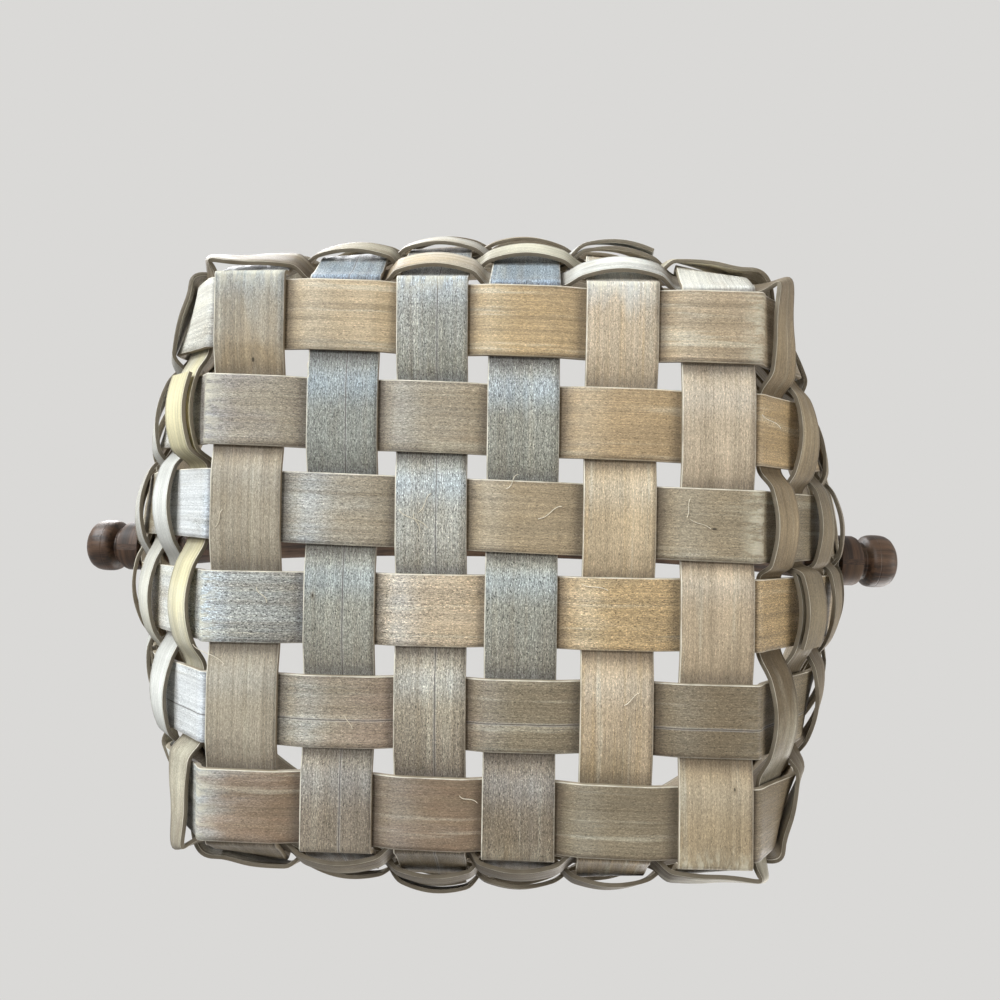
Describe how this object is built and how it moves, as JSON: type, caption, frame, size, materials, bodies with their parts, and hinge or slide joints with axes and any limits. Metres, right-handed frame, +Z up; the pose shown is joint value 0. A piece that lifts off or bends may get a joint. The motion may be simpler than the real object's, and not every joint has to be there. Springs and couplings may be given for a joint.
{
  "type": "gathering basket",
  "caption": "Splint-woven gathering basket: square open-weave base, walls flaring to an oval rim of bent hoops, and a bentwood bail handle swinging on turned wooden pins.",
  "frame": {"origin": "centre of the whole part's footprint at the height of the base splints' undersides", "axes": "+Z up through the open basket, +X along the bail's pivot axis, +Y across it"},
  "size_m": [0.2974, 0.227, 0.2457],
  "materials": {
    "column_splint_wood": "weathered grey-brown splint, satin",
    "row_splint_wood": "weathered taupe splint with golden streaks, satin",
    "weaver_wood": "pale khaki splint, satin",
    "hoop_wood": "bent wood, satin",
    "dark_wood": "dark walnut stain, satin",
    "nail_metal": "bright nail heads"
  },
  "bodies": {
    "basket": {"column_splint_1": "column_splint_wood", "column_splint_2": "column_splint_wood", "column_splint_3": "column_splint_wood", "column_splint_4": "column_splint_wood", "column_splint_5": "column_splint_wood", "column_splint_6": "column_splint_wood", "row_splint_1": "row_splint_wood", "row_splint_2": "row_splint_wood", "row_splint_3": "row_splint_wood", "row_splint_4": "row_splint_wood", "row_splint_5": "row_splint_wood", "row_splint_6": "row_splint_wood", "wall_weaver_1": "weaver_wood", "wall_weaver_2": "weaver_wood", "wall_weaver_3": "weaver_wood", "wall_weaver_4": "weaver_wood", "wall_weaver_5": "weaver_wood", "wall_weaver_6": "weaver_wood", "outer_rim_hoop": "hoop_wood", "inner_rim_hoop": "hoop_wood", "rim_nail_1": "nail_metal", "rim_nail_2": "nail_metal", "rim_nail_3": "nail_metal", "rim_nail_4": "nail_metal", "rim_nail_5": "nail_metal", "rim_nail_6": "nail_metal", "rim_nail_7": "nail_metal", "rim_nail_8": "nail_metal", "rim_nail_9": "nail_metal", "rim_nail_10": "nail_metal", "pivot_pin_left": "dark_wood", "pivot_pin_right": "dark_wood", "pin_collar_left": "dark_wood", "pin_collar_right": "dark_wood"},
    "handle": {"bail": "dark_wood"}
  },
  "joints": [
    {"name": "handle_swing", "type": "hinge", "parent": "basket", "child": "handle", "pos_m": [0, 0, 0.083], "axis": [1, 0, 0], "range_deg": [-90, 90]}
  ]
}
